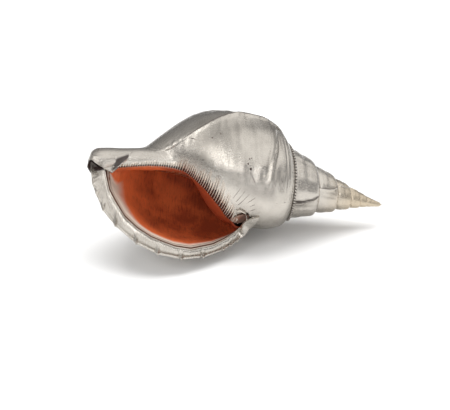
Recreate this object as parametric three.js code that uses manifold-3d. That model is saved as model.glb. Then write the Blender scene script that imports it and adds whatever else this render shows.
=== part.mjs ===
// A silver-plated trumpet triton shell, grown as one piece, lying on its outer lip with the mouth to the front.
// Millimetres. The shell is drawn about its coiling axis: W runs from the apex to the tip of the canal, U points
// at the outer lip, and the whorls grow from U towards V. Turn 0 is the outer lip, and earlier growth is negative.
import * as THREE from 'three';
import Module from 'manifold-3d';

const TAU = 2 * Math.PI;
const DEGREE = Math.PI / 180;

// Coiling
const LENGTH = 340;
const TURNS = 8;
const HEIGHT_PER_TURN = 1.47;
const HEIGHT_RATE = Math.log(HEIGHT_PER_TURN) / TAU;
const RADIUS_RATE = HEIGHT_RATE * 1.085;
const SUTURE_AT_LIP = 149.5;
const APEX_STRETCH = 15.7;
const APEX_STRETCH_REACH = 43;

// Last whorl at the lip: distance from the apex and radius, from the suture to the base
const WHORL_PROFILE = [
  [149.5, 57.4], [157.5, 66.5], [166, 70], [180, 73], [199, 80.5], [219.5, 87.1], [243, 89],
  [267, 82], [290, 65.6], [310.5, 43.4], [328, 21.9], [346, 9],
];

// Fuller shoulder of the last whorl
const SHOULDER_HEIGHT = 11;
const SHOULDER_AT = 180;
const SHOULDER_REACH = 28;
const SHOULDER_START = [-450 * DEGREE, -390 * DEGREE];
const SHOULDER_END = [-40 * DEGREE, 20 * DEGREE];

// Canal neck
const NECK_PROFILE = [
  [150, 4], [200, 14.5], [250, 13.5], [300, 11.5], [318, 12.5], [332, 13.5], [338, 12], [340, 9],
];
const NECK_BLEND = 8;
const BEND_START = 230;
const BEND_U = 18.6;
const BEND_V = 0;

// Spout at the canal's end: a leaf-shaped flap on the neck, hollowed on its mouth side
const FLAP_HEIGHT = 7;
const FLAP_AT = 317;
const FLAP_REACH = 12;
const FLAP_TURN = 25 * DEGREE;
const FLAP_SPREAD = 0.5;
const SPOUT_TURN = 75 * DEGREE;
const SPOUT_OFFSET = 9;
const SPOUT = [[294, 1.5], [302, 4], [312, 7], [322, 8], [334, 8], [350, 8]];
const SPOUT_SIDES = 14;

// Outer lip
const MOUTH_FLARE = 21;
const MOUTH_FLARE_LENGTH = 0.2;
const RIM_FLARE = 7;
const RIM_FLARE_LENGTH = 0.055;
const LIP_LEAN = 0.14;
const LIP_SKEW = 0.13;
const TEETH = 9;
const TOOTH_HEIGHT = 2.4;
const TOOTH_LENGTH = 0.03;

// Old lips left as ridges across the whorls
const FIRST_VARIX = -240 * DEGREE;
const VARIX_STEP = -230 * DEGREE;
const VARIX_HEIGHT = 7;
const VARIX_RISE = 0.22;
const VARIX_DROP = 0.035;

// Chamber
const WALL = 4;
const CHAMBER_TURNS = 3.5;
const CHAMBER_FROM = 156;
const CHAMBER_TO = 312;
const CANAL_TO = 337;
const CANAL_LENGTH = 0.6;
const MOUTH_STEPS = 6;
const MOUTH_FROM = 0.5;
const MOUTH_BEYOND = 0.05;
const COLUMELLA_SLOPE = 0.042;
const CALLUS = 1.6;
const HOLLOW_DEPTH = 6;
const HOLLOW_TURN = 0.15 - TAU;
const HOLLOW_SPREAD = 0.5;
const HOLLOW_AT = 235;
const HOLLOW_REACH = 45;

// Mesh density
const WELD = 1000;
const STEPS_PER_TURN = 36;
const CHAMBER_STEPS_PER_TURN = 20;
const SPIRE_COLUMNS = 5;
const BODY_COLUMNS = 32;
const COLUMN_SPREAD = 1.15;
const CHAMBER_POINTS = 12;

// How the shell lies
const REST_ROLL = 40.47 * DEGREE;
const REST_PITCH = -15.69 * DEGREE;
const WEAR_DEPTH = 1.2;

const SILVER = { color: 0xc9c5bd, roughness: 0.28, metalness: 1.0 };

/** Turns a list of [distance, radius] points into a function that gives the radius at a distance. */
function profile(points) {
  const curve = new THREE.SplineCurve(points.map(([w, r]) => new THREE.Vector2(w, r)));
  const samples = curve.getPoints(points.length * 24);
  return (w) => {
    const after = samples.findIndex((p) => p.x > w);
    if (after === 0) return samples[0].y;
    if (after < 0) return samples[samples.length - 1].y;
    const a = samples[after - 1];
    const b = samples[after];
    return THREE.MathUtils.mapLinear(w, a.x, b.x, a.y, b.y);
  };
}

const whorlRadius = profile(WHORL_PROFILE);
const neckRadius = profile(NECK_PROFILE);
const WHORL_END = WHORL_PROFILE[WHORL_PROFILE.length - 1][0];

/** Distance of the suture from the apex at a turn angle. */
function suture(t) {
  return SUTURE_AT_LIP * Math.exp(HEIGHT_RATE * t);
}

/** The larger of two lengths, with a soft corner. */
function softMax(a, b, blend) {
  return Math.max(a, b) + (blend / 4) * Math.exp((-1.5 * Math.abs(a - b)) / blend);
}

/** Height of the old lip edges at a turn angle, for a whorl of the lip's size. */
function varix(t) {
  let height = 0;
  for (let at = FIRST_VARIX; at > -TAU * TURNS; at += VARIX_STEP) {
    const spread = t < at ? VARIX_RISE : VARIX_DROP;
    height += VARIX_HEIGHT * bell(t, at, spread);
  }
  return height;
}

/** A bell-shaped fall from 1 around a middle value. */
function bell(value, middle, spread) {
  return Math.exp(-(((value - middle) / spread) ** 2));
}

/** Depth of the hollow worn into the whorl under the inner lip. */
function innerLipHollow(w, t) {
  return HOLLOW_DEPTH * bell(t, HOLLOW_TURN, HOLLOW_SPREAD) * bell(w, HOLLOW_AT, HOLLOW_REACH);
}

/** Extra radius of the last whorl's fuller shoulder. */
function shoulder(along, t) {
  const started = THREE.MathUtils.smoothstep(t, ...SHOULDER_START);
  const ended = THREE.MathUtils.smoothstep(t, ...SHOULDER_END);
  return SHOULDER_HEIGHT * started * (1 - ended) * bell(along, SHOULDER_AT, SHOULDER_REACH);
}

/** Radius of a whorl wall, without neck or lip. */
function wallRadius(w, t) {
  const along = w * Math.exp(-HEIGHT_RATE * t);
  if (along > WHORL_END) return 0;
  const across = THREE.MathUtils.clamp((along - SUTURE_AT_LIP) / (WHORL_END - SUTURE_AT_LIP), 0, 1);
  const ridge = varix(t) * Math.sqrt(Math.sin(Math.PI * across));
  const grown = whorlRadius(along) + ridge + shoulder(along, t);
  return grown * Math.exp(RADIUS_RATE * t) - innerLipHollow(w, t);
}

/** Radius at the suture that starts a whorl. */
function sutureRadius(t) {
  return WHORL_PROFILE[0][1] * Math.exp(RADIUS_RATE * t);
}

/** Radius of the columella inside the shell. */
function columella(w) {
  return COLUMELLA_SLOPE * w;
}

/** Share of the outer lip's flare at a place between suture (0) and canal tip (1). */
function flareShare(x) {
  return THREE.MathUtils.smoothstep(x, 0, 0.22) * (1 - THREE.MathUtils.smoothstep(x, 0.82, 1));
}

/** Turn angle of the lip's edge at a place between suture (0) and canal tip (1). */
function lipEdge(x) {
  return (LIP_LEAN + LIP_SKEW * x) * Math.sqrt(Math.max(0, Math.sin(Math.PI * x)));
}

/** Height of the points along the lip's edge, 0 between them and 1 on each. */
function tooth(x) {
  return Math.abs(Math.cos(Math.PI * TEETH * x)) ** 6;
}

/** Widening of the mouth at a place and turn angle. */
function mouthFlare(x, t) {
  return flareShare(x) * MOUTH_FLARE * Math.exp((t - lipEdge(x)) / MOUTH_FLARE_LENGTH);
}

/** Further widening of the outside towards the thick, toothed rim. */
function rimFlare(x, t) {
  const back = t - lipEdge(x);
  const points = TOOTH_HEIGHT * tooth(x) * Math.exp(back / TOOTH_LENGTH);
  return flareShare(x) * (RIM_FLARE * Math.exp(back / RIM_FLARE_LENGTH) + points);
}

/** Place between suture (0) and canal tip (1) of a distance from the apex. */
function placeOf(w, t) {
  const share = THREE.MathUtils.clamp((w - suture(t)) / (LENGTH - suture(t)), 0, 1);
  return share ** (1 / COLUMN_SPREAD);
}

/** Height of the leaf-shaped flap that stands off the neck beside the spout. */
function flap(w, t) {
  const around = THREE.MathUtils.euclideanModulo(t - FLAP_TURN + Math.PI, TAU) - Math.PI;
  return FLAP_HEIGHT * bell(w, FLAP_AT, FLAP_REACH) * bell(around, 0, FLAP_SPREAD);
}

/** Radius of the last whorl with its canal neck, before the lip widens. */
function bodyRadius(w, t) {
  return softMax(wallRadius(w, t), neckRadius(w), NECK_BLEND) + flap(w, t);
}

/** A point at a turn angle, distance and radius, on the drawn-out apex and the slightly bent neck. */
function place(t, w, r) {
  const bend = (Math.max(0, w - BEND_START) / (LENGTH - BEND_START)) ** 2;
  const along = w - APEX_STRETCH * Math.exp(-w / APEX_STRETCH_REACH);
  return new THREE.Vector3(r * Math.cos(t) + BEND_U * bend, r * Math.sin(t) + BEND_V * bend, along);
}

/** Gathers triangles whose corners are shared wherever they meet. */
class Skin {
  constructor() {
    this.corners = [];
    this.faces = [];
    this.known = new Map();
  }

  corner(point) {
    const key = point.toArray().map((value) => Math.round(value * WELD + 0.37)).join(',');
    if (!this.known.has(key)) {
      this.known.set(key, this.corners.length / 3);
      this.corners.push(...point.toArray());
    }
    return this.known.get(key);
  }

  triangle(a, b, c) {
    const ids = [a, b, c].map((point) => this.corner(point));
    if (new Set(ids).size === 3) this.faces.push(...ids);
  }

  /** Joins two rows of points, which may differ in count. */
  strip(low, high) {
    let i = 0;
    let j = 0;
    while (i < low.length - 1 || j < high.length - 1) {
      const next = (i + 1) * (high.length - 1) <= (j + 1) * (low.length - 1);
      if (i < low.length - 1 && (next || j === high.length - 1)) {
        this.triangle(low[i], high[j], low[i + 1]);
        i += 1;
      } else {
        this.triangle(low[i], high[j], high[j + 1]);
        j += 1;
      }
    }
  }

  fan(middle, rim) {
    for (let i = 0; i < rim.length - 1; i += 1) this.triangle(middle, rim[i], rim[i + 1]);
  }

  solid(wasm) {
    return toSolid(wasm, this.corners, this.faces);
  }
}

/** One row of points over an old whorl, from its suture to the next one. */
function spireRow(step) {
  const t = (step / STEPS_PER_TURN) * TAU;
  const from = suture(t);
  const to = suture(t + TAU);
  return Array.from({ length: SPIRE_COLUMNS + 1 }, (_, i) => {
    if (i === 0) return place(t, from, sutureRadius(t));
    if (i === SPIRE_COLUMNS) return place(t + TAU, to, sutureRadius(t + TAU));
    const w = THREE.MathUtils.lerp(from, to, i / SPIRE_COLUMNS);
    return place(t, w, wallRadius(w, t));
  });
}

/** One row of points over the last whorl at a share of its growth (0 to 1), from its suture to the canal tip. */
function bodyRow(share) {
  return Array.from({ length: BODY_COLUMNS + 1 }, (_, i) => {
    const x = i / BODY_COLUMNS;
    const t = -TAU + share * (TAU + lipEdge(x));
    if (i === 0) return place(t, suture(t), sutureRadius(t));
    if (i === BODY_COLUMNS) return place(t, LENGTH, neckRadius(LENGTH));
    const w = THREE.MathUtils.lerp(suture(t), LENGTH, x ** COLUMN_SPREAD);
    return place(t, w, bodyRadius(w, t) + mouthFlare(x, t) + rimFlare(x, t));
  });
}

/** The first row of the last whorl: the end of the spire's row, then the inner lip and columella. */
function innerLipRow() {
  const columns = BODY_COLUMNS - SPIRE_COLUMNS;
  const rest = Array.from({ length: columns }, (_, i) => {
    const w = THREE.MathUtils.lerp(SUTURE_AT_LIP, LENGTH, ((i + 1) / columns) ** COLUMN_SPREAD);
    return place(-TAU, w, i + 1 < columns ? bodyRadius(w, -TAU) : neckRadius(LENGTH));
  });
  return [...spireRow(-STEPS_PER_TURN), ...rest];
}

/** The whole outside as one closed solid, still without its chamber. */
function outside(wasm) {
  const skin = new Skin();
  const first = -STEPS_PER_TURN * TURNS;
  const spire = [];
  for (let step = first; step <= -STEPS_PER_TURN; step += 1) spire.push(spireRow(step));
  spire.slice(1).forEach((row, i) => skin.strip(spire[i], row));

  const tip = place(0, 0, 0);
  const seam = spire.slice(0, STEPS_PER_TURN + 1).map((row) => row[0]);
  skin.fan(tip, [...seam].reverse());
  skin.fan(tip, spire[0]);

  const body = [innerLipRow()];
  for (let step = 1; step <= STEPS_PER_TURN; step += 1) body.push(bodyRow(step / STEPS_PER_TURN));
  body.slice(1).forEach((row, i) => skin.strip(body[i], row));
  skin.fan(new THREE.Vector3(BEND_U, BEND_V, LENGTH), body.map((row) => row[BODY_COLUMNS]));
  skin.strip(body[STEPS_PER_TURN], body[0].slice(SPIRE_COLUMNS));
  return skin.solid(wasm);
}

/** Radius of the chamber's inner side: the whorl before it, the columella, and the neck near the mouth. */
function chamberFloor(w, t, open) {
  const core = THREE.MathUtils.lerp(columella(w), neckRadius(w), open);
  return softMax(wallRadius(w, t - TAU), core, NECK_BLEND);
}

/** Outline of the chamber at a turn angle: its outer wall, then back along the columella. */
function chamberRow(turn) {
  const scale = Math.exp(HEIGHT_RATE * turn);
  const open = THREE.MathUtils.smoothstep(turn, -CANAL_LENGTH, 0);
  const from = CHAMBER_FROM * scale;
  const to = THREE.MathUtils.lerp(CHAMBER_TO * scale, CANAL_TO, open);
  const outer = [];
  const inner = [];
  for (let i = 0; i <= CHAMBER_POINTS; i += 1) {
    const share = (1 - Math.cos((Math.PI * i) / CHAMBER_POINTS)) / 2;
    const w = THREE.MathUtils.lerp(from, to, share);
    const x = placeOf(w, turn);
    const t = turn + open * lipEdge(x);
    const floor = chamberFloor(w, t, open) + CALLUS * scale;
    const widening = turn > -TAU ? mouthFlare(x, t) : 0;
    const roof = wallRadius(w, t) - WALL * scale + widening;
    outer.push(place(t, w, Math.max(roof, floor + 0.5 * scale)));
    inner.push(place(t, w, floor));
  }
  return [outer, inner];
}

/** The chamber and mouth as one closed solid, running a little way out of the lip. */
function chamber(wasm) {
  const skin = new Skin();
  const rows = [];
  const last = Math.round(CHAMBER_TURNS * CHAMBER_STEPS_PER_TURN);
  for (let step = -last; step <= 0; step += 1) {
    rows.push(chamberRow((step / CHAMBER_STEPS_PER_TURN) * TAU - MOUTH_FROM));
  }
  for (let step = 1; step <= MOUTH_STEPS; step += 1) {
    const share = step / MOUTH_STEPS;
    rows.push(chamberRow(THREE.MathUtils.lerp(-MOUTH_FROM, MOUTH_BEYOND, 1 - (1 - share) ** 1.6)));
  }
  const loops = rows.map(([outer, inner]) => [...outer, ...[...inner].reverse(), outer[0]]);
  loops.slice(1).forEach((loop, i) => skin.strip(loops[i], loop));
  const [mouthOuter, mouthInner] = rows[rows.length - 1];
  skin.strip(rows[0][1], rows[0][0]);
  skin.strip(mouthOuter, mouthInner);
  return skin.solid(wasm);
}

/** The hollow of the spout as a closed, tapering solid along the neck. */
function spout(wasm) {
  const skin = new Skin();
  const middle = new THREE.Vector2(Math.cos(SPOUT_TURN), Math.sin(SPOUT_TURN)).multiplyScalar(SPOUT_OFFSET);
  const rings = SPOUT.map(([w, r]) => Array.from({ length: SPOUT_SIDES + 1 }, (_, i) => {
    const angle = ((i % SPOUT_SIDES) / SPOUT_SIDES) * TAU;
    return place(0, w, 0).add(new THREE.Vector3(middle.x + r * Math.cos(angle), middle.y + r * Math.sin(angle), 0));
  }));
  rings.slice(1).forEach((ring, i) => skin.strip([...rings[i]].reverse(), [...ring].reverse()));
  skin.fan(rings[0][0], [...rings[0]].reverse());
  skin.fan(rings[rings.length - 1][0], rings[rings.length - 1]);
  return skin.solid(wasm);
}

/** Everything below the surface the shell lies on, to leave small worn flats. */
function floor(wasm) {
  const box = new THREE.BoxGeometry(4 * LENGTH, 4 * LENGTH, LENGTH);
  box.translate(0, 0, -LENGTH / 2);
  const skin = new Skin();
  const at = box.attributes.position;
  const corner = (i) => new THREE.Vector3().fromBufferAttribute(at, box.index.getX(i));
  for (let i = 0; i < box.index.count; i += 3) skin.triangle(corner(i), corner(i + 1), corner(i + 2));
  return skin.solid(wasm);
}

/** A closed solid from corners and faces. */
function toSolid(wasm, corners, faces) {
  const vertProperties = new Float32Array(corners);
  const triVerts = new Uint32Array(faces);
  return new wasm.Manifold(new wasm.Mesh({ numProp: 3, vertProperties, triVerts }));
}

/** Turns the shell from its own axes to the way it lies: apex to +X, mouth to the front. */
function layDown(geometry) {
  const ownAxes = new THREE.Matrix4().set(0, 0, -1, 0, 0, -1, 0, 0, -1, 0, 0, 0, 0, 0, 0, 1);
  geometry.applyMatrix4(new THREE.Matrix4().makeRotationZ(REST_ROLL));
  geometry.applyMatrix4(ownAxes);
  geometry.applyMatrix4(new THREE.Matrix4().makeRotationY(-REST_PITCH));
  geometry.computeBoundingBox();
  const box = geometry.boundingBox;
  const middle = box.getCenter(new THREE.Vector3());
  geometry.translate(-middle.x, -middle.y, -box.min.z - WEAR_DEPTH);
}

/** The finished geometry of a closed solid. */
function toGeometry(solid) {
  const mesh = solid.getMesh();
  const geometry = new THREE.BufferGeometry();
  geometry.setAttribute('position', new THREE.BufferAttribute(mesh.vertProperties, 3));
  geometry.setIndex(new THREE.BufferAttribute(mesh.triVerts, 1));
  return geometry;
}

const wasm = await Module();
wasm.setup();
const lying = toGeometry(outside(wasm).subtract(chamber(wasm)).subtract(spout(wasm)));
layDown(lying);
const whole = toSolid(wasm, lying.attributes.position.array, lying.index.array);
const geometry = toGeometry(whole.subtract(floor(wasm)));

const part = new THREE.Group();
const mesh = new THREE.Mesh(geometry, new THREE.MeshStandardMaterial(SILVER));
mesh.name = 'triton_shell';
part.add(mesh);

export default part;
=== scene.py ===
"""A large trumpet triton shell, plated with silver outside and left bare in its mouth, on a pale floor.

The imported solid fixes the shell's size and place. The pieces here stand for it: the plated whorls, the
toothed lip, the bare mouth, the wrinkled inner lip and the small fittings of the canal. A place on the
shell is a turn angle t, in radians and 0 at the outer lip, a distance w from the apex and a radius r,
both in millimetres about the shell's own coiling axis. The frame, where each piece is laid down, is in
metres.
"""
import logging
import math
from collections.abc import Callable, Iterator
from contextlib import contextmanager
from dataclasses import dataclass, field
from enum import Enum
from functools import cache

import bpy
import numpy as np
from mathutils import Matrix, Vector


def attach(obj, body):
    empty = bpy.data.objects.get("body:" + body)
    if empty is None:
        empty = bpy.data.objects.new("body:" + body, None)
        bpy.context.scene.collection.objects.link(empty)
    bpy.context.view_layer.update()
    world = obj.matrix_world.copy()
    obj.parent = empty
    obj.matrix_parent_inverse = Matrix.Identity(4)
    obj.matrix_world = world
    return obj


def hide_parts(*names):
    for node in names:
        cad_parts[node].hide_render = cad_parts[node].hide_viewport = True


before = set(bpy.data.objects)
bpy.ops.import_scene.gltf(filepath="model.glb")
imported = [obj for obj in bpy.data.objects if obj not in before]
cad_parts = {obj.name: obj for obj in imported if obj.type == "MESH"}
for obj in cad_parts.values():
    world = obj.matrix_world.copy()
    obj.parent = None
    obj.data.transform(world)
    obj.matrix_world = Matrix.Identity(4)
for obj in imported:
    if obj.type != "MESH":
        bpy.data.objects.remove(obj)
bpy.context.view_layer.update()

NODE = "triton_shell"
BODY = "root"
MM = 0.001
TAU = 2 * math.pi
UV_UNIT = 40  # millimetres along the shell for one unit of the UV map
WORN = 0.1  # millimetres above the floor at which the lowest point of the last whorl is worn flat

log = logging.getLogger("triton")
Array = np.ndarray
Object = bpy.types.Object
Material = bpy.types.Material
Socket = bpy.types.NodeSocket
Knots = tuple[tuple[float, ...], ...]


def smoothstep(value: Array, low: float, high: float) -> Array:
    """Rises smoothly from 0 at low to 1 at high."""
    share = np.clip((value - low) / (high - low), 0.0, 1.0)
    return share * share * (3 - 2 * share)


def bell(value: Array, middle: float | Array, spread: float | Array) -> Array:
    """A bell-shaped fall from 1 around a middle value."""
    return np.exp(-(((value - middle) / spread) ** 2))


def soft_max(a: Array, b: Array, blend: float) -> Array:
    """The larger of two lengths, with a soft corner."""
    return np.maximum(a, b) + blend / 4 * np.exp(-1.5 * np.abs(a - b) / blend)


def ripple(value: Array, seed: int, waves: int, low: float, high: float) -> Array:
    """An uneven wavy line of height about 1, the sum of sines with drawn phases.

    Args:
        value: Where along the line, in radians of the slowest wave.
        seed: Seed of the draw.
        waves: How many sines are summed.
        low: Slowest frequency.
        high: Fastest frequency.

    Returns:
        The height of the line at each value.
    """
    draw = np.random.default_rng(seed)
    total = np.zeros_like(value)
    for _ in range(waves):
        wave = np.sin(value * draw.uniform(low, high) + draw.uniform(0, TAU))
        total = total + wave * draw.uniform(0.5, 1.0)
    return total / math.sqrt(waves / 2)


def profile(points: Knots, steps: int = 24) -> Callable[[Array], Array]:
    """Turns (distance, radius) points into a smooth outline.

    Args:
        points: The points, by growing distance.
        steps: Samples between two points.

    Returns:
        A function that gives the radius at each distance.
    """
    at = np.array(points)
    padded = np.vstack([at[:1], at, at[-1:]])
    samples = []
    for i in range(len(at) - 1):
        p0, p1, p2, p3 = padded[i:i + 4]
        v0, v1 = (p2 - p0) / 2, (p3 - p1) / 2
        cubic, square = 2 * p1 - 2 * p2 + v0 + v1, -3 * p1 + 3 * p2 - 2 * v0 - v1
        for s in np.linspace(0, 1, steps, endpoint=False):
            samples.append(cubic * s**3 + square * s**2 + v0 * s + p1)
    samples = np.array(samples + [at[-1]])
    return lambda w: np.interp(w, samples[:, 0], samples[:, 1])


def straight(points: Knots, value: Array) -> Array:
    """Reads (place, value) knots along straight lines."""
    return np.interp(value, *np.array(points).T)


def knots(points: tuple[tuple[float, ...], ...], share: Array) -> Array:
    """Reads rows of knots smoothly.

    Args:
        points: Rows of a share and the values there.
        share: Where to read.

    Returns:
        One column of values for each value of a row, after its share.
    """
    at = np.array(points)
    fine = np.linspace(at[0, 0], at[-1, 0], 1601)
    spread = np.exp(-np.linspace(-2, 2, 33) ** 2)
    spread /= spread.sum()
    read = []
    for column in at[:, 1:].T:
        line = np.interp(fine, at[:, 0], column)
        ends = np.pad(line, 16, mode="reflect", reflect_type="odd")
        read.append(np.interp(share, fine, np.convolve(ends, spread, mode="valid")))
    return np.stack(read)


@dataclass(frozen=True)
class Spot:
    """A soft-edged spot on the shell, by turn angle and by distance, with its spread each way."""

    turn: float
    turn_spread: float
    place: float
    place_spread: float

    def strength(self, t: Array, place: Array) -> Array:
        """1 in the spot's middle, falling off all round."""
        return bell(place, self.place, self.place_spread) * bell(t, self.turn, self.turn_spread)


# The whorl's outline, from its suture to the end of the canal, and the neck's: distance and radius.
WHORL_POINTS = (
    (149.5, 57.4), (157.5, 66.5), (166, 70), (180, 73), (199, 80.5), (219.5, 87.1), (243, 89),
    (267, 82), (290, 65.6), (310.5, 43.4), (328, 21.9), (346, 9),
)
NECK_POINTS = (
    (150, 4), (200, 14.5), (250, 13.5), (300, 11.5), (318, 12.5), (331, 13.4), (336, 12.0), (338.5, 9.5),
    (339.6, 6.5), (340, 2),
)


@dataclass(frozen=True)
class Lips:
    """The edges of the mouth: share of the way from suture to canal, then distance, radius and turn angle."""

    outer: Knots = (
        (0.000, 142.5, 60.5, 0.50), (0.012, 143.6, 60.5, 0.33), (0.025, 144.5, 62.0, 0.14),
        (0.052, 154.5, 76.0, 0.07), (0.110, 165.0, 86.5, 0.095), (0.173, 174.9, 94.9, 0.117),
        (0.302, 197.5, 109.3, 0.161), (0.436, 222.9, 118.2, 0.195), (0.576, 250.5, 117.8, 0.212),
        (0.699, 275.8, 106.6, 0.208), (0.818, 300.7, 84.0, 0.181), (0.891, 316.4, 62.8, 0.148),
        (0.922, 322.9, 48.4, 0.128), (0.963, 331.9, 28.8, 0.091), (0.980, 333.5, 18.8, 0.07),
        (1.000, 340.0, 8.0, 0.05),
    )
    inside_rim: Knots = (
        (0.000, 143.5, 60.0, 0.49), (0.012, 150.0, 61.0, 0.45), (0.025, 156.0, 62.6, 0.38),
        (0.040, 158.0, 62.5, 0.25), (0.060, 158.5, 63.5, 0.09), (0.110, 164.0, 70.5, 0.095),
        (0.173, 174.5, 81.5, 0.117), (0.250, 188.1, 92.3, 0.145), (0.388, 213.6, 104.4, 0.184),
        (0.484, 232.2, 105.9, 0.203), (0.549, 245.1, 103.5, 0.210), (0.620, 259.5, 99.4, 0.213),
        (0.700, 275.5, 90.0, 0.208), (0.775, 291.0, 76.0, 0.195), (0.840, 303.5, 56.5, 0.175),
        (0.900, 311.5, 42.0, 0.15), (0.950, 317.8, 22.0, 0.12), (1.000, 321.0, 10.0, 0.10),
    )
    # The edge of the bare mouth on the whorl before it and on the neck has no radius of its own.
    inner: Knots = (
        (0.00, 158.5, 0.09), (0.05, 167.0, 0.12), (0.10, 177.0, 0.20), (0.17, 186.0, 0.38),
        (0.25, 197.5, 0.52), (0.33, 208.5, 0.64), (0.41, 219.0, 0.71), (0.52, 236.0, 0.76),
        (0.62, 250.0, 0.79), (0.68, 257.0, 0.77), (0.78, 275.0, 0.64), (0.88, 291.0, 0.40),
        (0.95, 308.0, 0.20), (1.00, 321.0, 0.10),
    )


@dataclass(frozen=True)
class Growth:
    """The shell's growth law: its radii and places from a turn angle t and a distance w."""

    length: float = 340.0
    turns: int = 12
    height_rate: float = math.log(1.47) / TAU
    radius_rate: float = math.log(1.47) / TAU * 1.085
    suture_at_lip: float = 149.5
    apex_stretch: float = 15.7
    apex_reach: float = 43.0
    shoulder: tuple[float, float, float] = (11.0, 180.0, 28.0)
    shoulder_turns: tuple[float, float, float, float] = (-450, -390, -40, 20)
    side_hollow: Spot = Spot(0.15 - TAU, 0.5, 235, 45)
    side_hollow_depth: float = 6.0
    bend_start: float = 230.0
    bend: float = 18.6
    varix_turns: tuple[float, ...] = (-240, -451, -676, -830, -1000, -1165, -1330, -1500, -1665, -1835, -2000)
    varix_height: float = 7.0
    varix_rise: float = 0.17
    varix_crest: float = 0.045
    varix_drop: float = 0.012
    newest_lean: Knots = ((150, 0.58), (205, 0.52), (235, 0.40), (262, 0.24), (292, 0.11), (322, 0.03))
    older_lean: Knots = ((150, 0.40), (158, 0.28), (170, 0.13), (190, 0.02), (215, 0.0))
    wall: float = 3.4
    crowding: float = 1.15
    mouth_flare: float = 21.0
    mouth_flare_length: float = 0.2
    rim_flare: float = 7.0
    rim_flare_length: float = 0.055
    lip_lean: float = 0.14
    lip_skew: float = 0.13
    callus: float = 1.6
    columella_slope: float = 0.042
    canal_opening: Knots = (
        (302, 400), (308, 40), (314, 15), (320, 12.2), (326, 8.4), (332, 3.9), (337, 0.6), (340, 0.2),
    )
    canal_facing: float = -0.251
    uncut: float = 200.0
    blend: float = 8.0
    roll: float = math.radians(40.47)
    pitch: float = math.radians(-15.69)
    whorl: Callable[[Array], Array] = field(default=profile(WHORL_POINTS), repr=False)
    neck: Callable[[Array], Array] = field(default=profile(NECK_POINTS), repr=False)
    lips: Lips = Lips()

    def suture(self, t: Array) -> Array:
        """Distance of the suture from the apex."""
        return self.suture_at_lip * np.exp(self.height_rate * t)

    def suture_radius(self, t: Array) -> Array:
        """Radius at the suture."""
        return WHORL_POINTS[0][1] * np.exp(self.radius_rate * t)

    def varices(self) -> list[float]:
        """Turn angles of the old lip edges that stand on the whorls."""
        return [math.radians(turn) for turn in self.varix_turns]

    def varix(self, t: Array, w: Array) -> Array:
        """Height of the old lip edges: a long rise, a sharp ragged crest and a sudden drop."""
        total = np.zeros_like(t)
        for i, at in enumerate(self.varices()):
            crest = self.crest(i, w)
            ragged = 1 + 0.03 * ripple(w / math.exp(self.height_rate * at), 40 + i, 5, 0.7, 1.9)
            rise = 0.55 * bell(t, crest, self.varix_rise) + 0.45 * bell(t, crest, self.varix_crest)
            drop = 1.2 * bell(t, crest, self.varix_drop) - 0.2 * bell(t, crest, self.varix_drop * 7)
            total = total + self.varix_height * ragged * np.where(t <= crest, rise, drop)
        return total

    def crest(self, index: int, w: Array) -> Array:
        """Turn angle of an old lip edge at a distance w; the newest one leans far over at the shoulder."""
        at = self.varices()[index]
        along = w * math.exp(-self.height_rate * at)
        return at + straight(self.older_lean if index else self.newest_lean, along)

    def whorl_radius(self, w: Array, t: Array) -> Array:
        """Radius of a whorl's wall, without neck or lip."""
        along = w * np.exp(-self.height_rate * t)
        end = WHORL_POINTS[-1][0]
        across = np.clip((along - self.suture_at_lip) / (end - self.suture_at_lip), 0, 1)
        height, at, reach = self.shoulder
        begins, full, fades, gone = (math.radians(turn) for turn in self.shoulder_turns)
        last = smoothstep(t, begins, full) * (1 - smoothstep(t, fades, gone))
        ridge = self.varix(t, w) * np.sqrt(np.sin(math.pi * across))
        grown = self.whorl(along) + ridge + height * last * bell(along, at, reach)
        hollow = self.side_hollow_depth * self.side_hollow.strength(t, w)
        return np.where(along > end, 0, grown * np.exp(self.radius_rate * t) - hollow)

    def flare_share(self, x: Array) -> Array:
        """Share of the lip's flare between suture (0) and canal tip (1)."""
        return smoothstep(x, 0, 0.22) * (1 - smoothstep(x, 0.82, 1))

    def lip_edge(self, x: Array) -> Array:
        """Turn angle of the lip's edge between suture (0) and canal tip (1)."""
        return (self.lip_lean + self.lip_skew * x) * np.sqrt(np.clip(np.sin(math.pi * x), 0, 1))

    def widening(self, x: Array, t: Array, size: float, reach: float) -> Array:
        """What a flare of the lip adds to a radius, falling off behind the lip's edge."""
        return self.flare_share(x) * size * np.exp((t - self.lip_edge(x)) / reach)

    def mouth_widening(self, x: Array, t: Array) -> Array:
        """Widening of the mouth, inside and outside, towards the lip."""
        return self.widening(x, t, self.mouth_flare, self.mouth_flare_length)

    def rim_widening(self, x: Array, t: Array) -> Array:
        """Widening of the outside alone, to the thick rim."""
        return self.widening(x, t, self.rim_flare, self.rim_flare_length)

    def across(self, w: Array, t: Array) -> Array:
        """Share between suture (0) and canal tip (1) of a distance w."""
        share = np.clip((w - self.suture(t)) / (self.length - self.suture(t)), 0, 1)
        return share ** (1 / self.crowding)

    def distance(self, x: Array, t: Array) -> Array:
        """Distance w of a share between suture (0) and canal tip (1)."""
        return self.suture(t) + (self.length - self.suture(t)) * x**self.crowding

    def canal_cut(self, w: Array, t: Array) -> Array:
        """Greatest radius of the neck where the canal opens under its fold."""
        facing, least = np.cos(t - self.canal_facing), 0.02
        cut = straight(self.canal_opening, w) / np.maximum(facing, least)
        return np.where(facing > least, cut, self.uncut)

    def outer_radius(self, w: Array, t: Array) -> Array:
        """Radius of the last whorl with the canal's neck, before the lip widens."""
        blend = self.blend - 6.5 * smoothstep(w, 320, 336)
        return np.minimum(soft_max(self.whorl_radius(w, t), self.neck(w), blend), self.canal_cut(w, t))

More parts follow.
